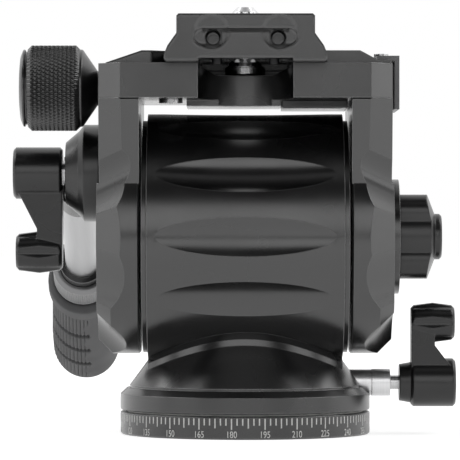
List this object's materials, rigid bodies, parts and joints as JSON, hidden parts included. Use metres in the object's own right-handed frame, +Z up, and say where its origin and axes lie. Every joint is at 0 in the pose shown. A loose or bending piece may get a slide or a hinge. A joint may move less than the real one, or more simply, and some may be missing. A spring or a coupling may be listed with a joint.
{
  "type": "fluid video head",
  "caption": "Fluted-drum video tripod head that pans on a dial base and tilts, with a dovetail plate clamp, lock levers, drag knob and a telescoping pan handle.",
  "frame": {"origin": "middle of the base underside on the pan axis, at the mouth of the tripod thread", "axes": "+Z up along the pan axis, -Y to the front of the head, +X to the tilt knob side"},
  "size_m": [0.107, 0.2324, 0.1027],
  "materials": {
    "anodised_black": "bead-blasted black anodising with broken edges",
    "cast_black": "fine black powder coat",
    "satin_silver": "satin silver anodising",
    "steel": "turned stainless steel",
    "rubber": "matt ribbed rubber",
    "bronze": "sintered bearing bronze",
    "slip_white": "slippery white plastic",
    "sheet_grey": "painted sheet steel"
  },
  "bodies": {
    "base": {"base_disc": "anodised_black", "pan_spindle": "steel", "pan_fluid_rotor": "steel", "pan_brake_drum": "steel"},
    "pan": {"pan_housing": "anodised_black", "pan_glide_ring": "slip_white", "pan_fluid_plate": "steel", "drum_shell": "anodised_black", "drum_screws": "steel", "left_drum_cap": "anodised_black", "right_drum_cap": "anodised_black", "tilt_bearings": "bronze", "tilt_stator": "satin_silver", "tilt_thrust_washers": "slip_white", "counterbalance_spring": "steel", "pan_lock_sleeve": "satin_silver"},
    "pan_lever": {"pan_lock_stud": "steel", "pan_lock_collar": "cast_black", "pan_lock_lever": "cast_black"},
    "pan_shoe": {"pan_brake_shoe": "bronze"},
    "tilt": {"left_side_plate": "anodised_black", "right_side_plate": "anodised_black", "tilt_shaft": "steel", "tilt_rotor": "satin_silver", "tilt_knob_disc": "anodised_black", "handle_friction_disc": "sheet_grey", "platform": "anodised_black", "platform_screws": "steel", "fixed_jaw": "anodised_black", "fixed_jaw_screws": "steel", "guide_pins": "steel", "side_leaf": "sheet_grey", "side_leaf_screw": "steel", "underside_cover": "cast_black", "jaw_stop_screw": "steel"},
    "tilt_knob": {"tilt_lock_knob": "cast_black", "tilt_lock_stud": "steel"},
    "jaw": {"moving_jaw": "anodised_black"},
    "clamp": {"clamp_knob": "anodised_black", "clamp_screw": "steel"},
    "plate": {"camera_plate": "anodised_black", "plate_stop_pins": "steel"},
    "plate_screw": {"camera_screw": "steel"},
    "handle": {"handle_hub": "cast_black", "handle_tube": "satin_silver"},
    "grip": {"grip_sleeve": "anodised_black", "rubber_grip": "rubber", "grip_end_cap": "rubber"},
    "twist_ring": {"twist_lock_ring": "satin_silver"},
    "handle_lever": {"handle_lock_lever": "cast_black", "handle_lock_stud": "steel"}
  },
  "joints": [
    {"name": "pan", "type": "hinge", "parent": "base", "child": "pan", "pos_m": [0, 0, 0], "axis": [0, 0, 1], "continuous": true},
    {"name": "tilt", "type": "hinge", "parent": "pan", "child": "tilt", "pos_m": [0, 0, 0.0474], "axis": [1, 0, 0], "range_deg": [-75, 90]},
    {"name": "pan_lock", "type": "hinge", "parent": "pan", "child": "pan_lever", "pos_m": [0.0399, 0, 0.0123], "axis": [1, 0, 0], "range_deg": [0, 100]},
    {"name": "pan_brake", "type": "slide", "parent": "pan", "child": "pan_shoe", "axis": [-1, 0, 0], "range_m": [0, 0.000408]},
    {"name": "tilt_lock", "type": "hinge", "parent": "tilt", "child": "tilt_knob", "pos_m": [0.037, 0, 0.0474], "axis": [1, 0, 0], "range_deg": [-120, 120]},
    {"name": "clamp_turn", "type": "hinge", "parent": "jaw", "child": "clamp", "pos_m": [-0.04, 0, 0.0832], "axis": [1, 0, 0], "range_deg": [-2250, 0]},
    {"name": "jaw_slide", "type": "slide", "parent": "tilt", "child": "jaw", "axis": [1, 0, 0], "range_m": [-0.0051, 0]},
    {"name": "plate_slide", "type": "slide", "parent": "tilt", "child": "plate", "axis": [0, 1, 0], "range_m": [-0.015, 0.015]},
    {"name": "camera_screw_turn", "type": "hinge", "parent": "plate", "child": "plate_screw", "pos_m": [0, 0, 0.09], "axis": [0, 0, 1], "continuous": true},
    {"name": "handle_angle", "type": "hinge", "parent": "tilt", "child": "handle", "pos_m": [-0.0408, 0.0115, 0.0629], "axis": [1, 0, 0], "range_deg": [-30, 60]},
    {"name": "handle_lock", "type": "hinge", "parent": "tilt", "child": "handle_lever", "pos_m": [-0.0408, 0.0115, 0.0629], "axis": [1, 0, 0], "range_deg": [-100, 0]},
    {"name": "grip_slide", "type": "slide", "parent": "handle", "child": "grip", "axis": [-0.0253, 0.9656, -0.2588], "range_m": [-0.055, 0]},
    {"name": "twist_lock", "type": "hinge", "parent": "grip", "child": "twist_ring", "pos_m": [-0.0408, 0.0115, 0.0629], "axis": [-0.0253, 0.9656, -0.2588], "range_deg": [0, 90]}
  ],
  "couplings": [
    {"joint": "pan_brake", "follows": "pan_lock", "m_per_rad": 0.00022918},
    {"joint": "jaw_slide", "follows": "clamp_turn", "m_per_rad": 0.00012732}
  ]
}
